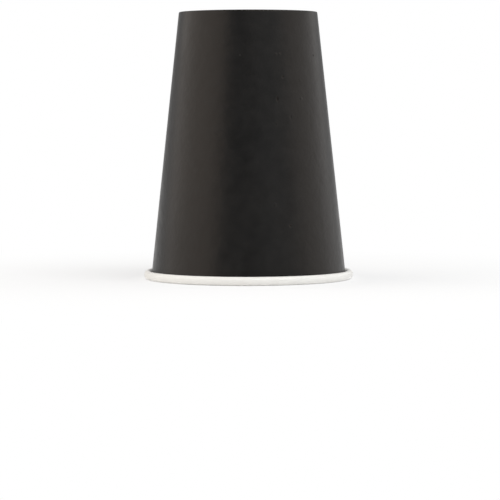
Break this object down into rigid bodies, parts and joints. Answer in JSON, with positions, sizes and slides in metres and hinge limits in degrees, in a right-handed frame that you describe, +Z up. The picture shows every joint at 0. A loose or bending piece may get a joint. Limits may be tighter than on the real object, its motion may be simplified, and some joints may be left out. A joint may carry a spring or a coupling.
{
  "type": "paper cup",
  "caption": "Tapered paper cup for hot drinks, standing mouth down, with a rolled rim, a lapped side seam and a recessed base disc clamped in a folded hem.",
  "frame": {"origin": "centre of the rolled rim's lowest circle, on the surface that the cup stands on", "axes": "+Z up along the cup's axis, from the mouth to the foot; -Y towards the picture's camera; the side seam is at the back, 112 degrees about +Z from +X"},
  "size_m": [0.09, 0.09, 0.1145],
  "materials": {
    "printed_board": "satin black print on coated board",
    "white_board": "uncoated white board"
  },
  "bodies": {
    "root": {"side_wall": "printed_board", "base_disc": "white_board"}
  },
  "joints": []
}
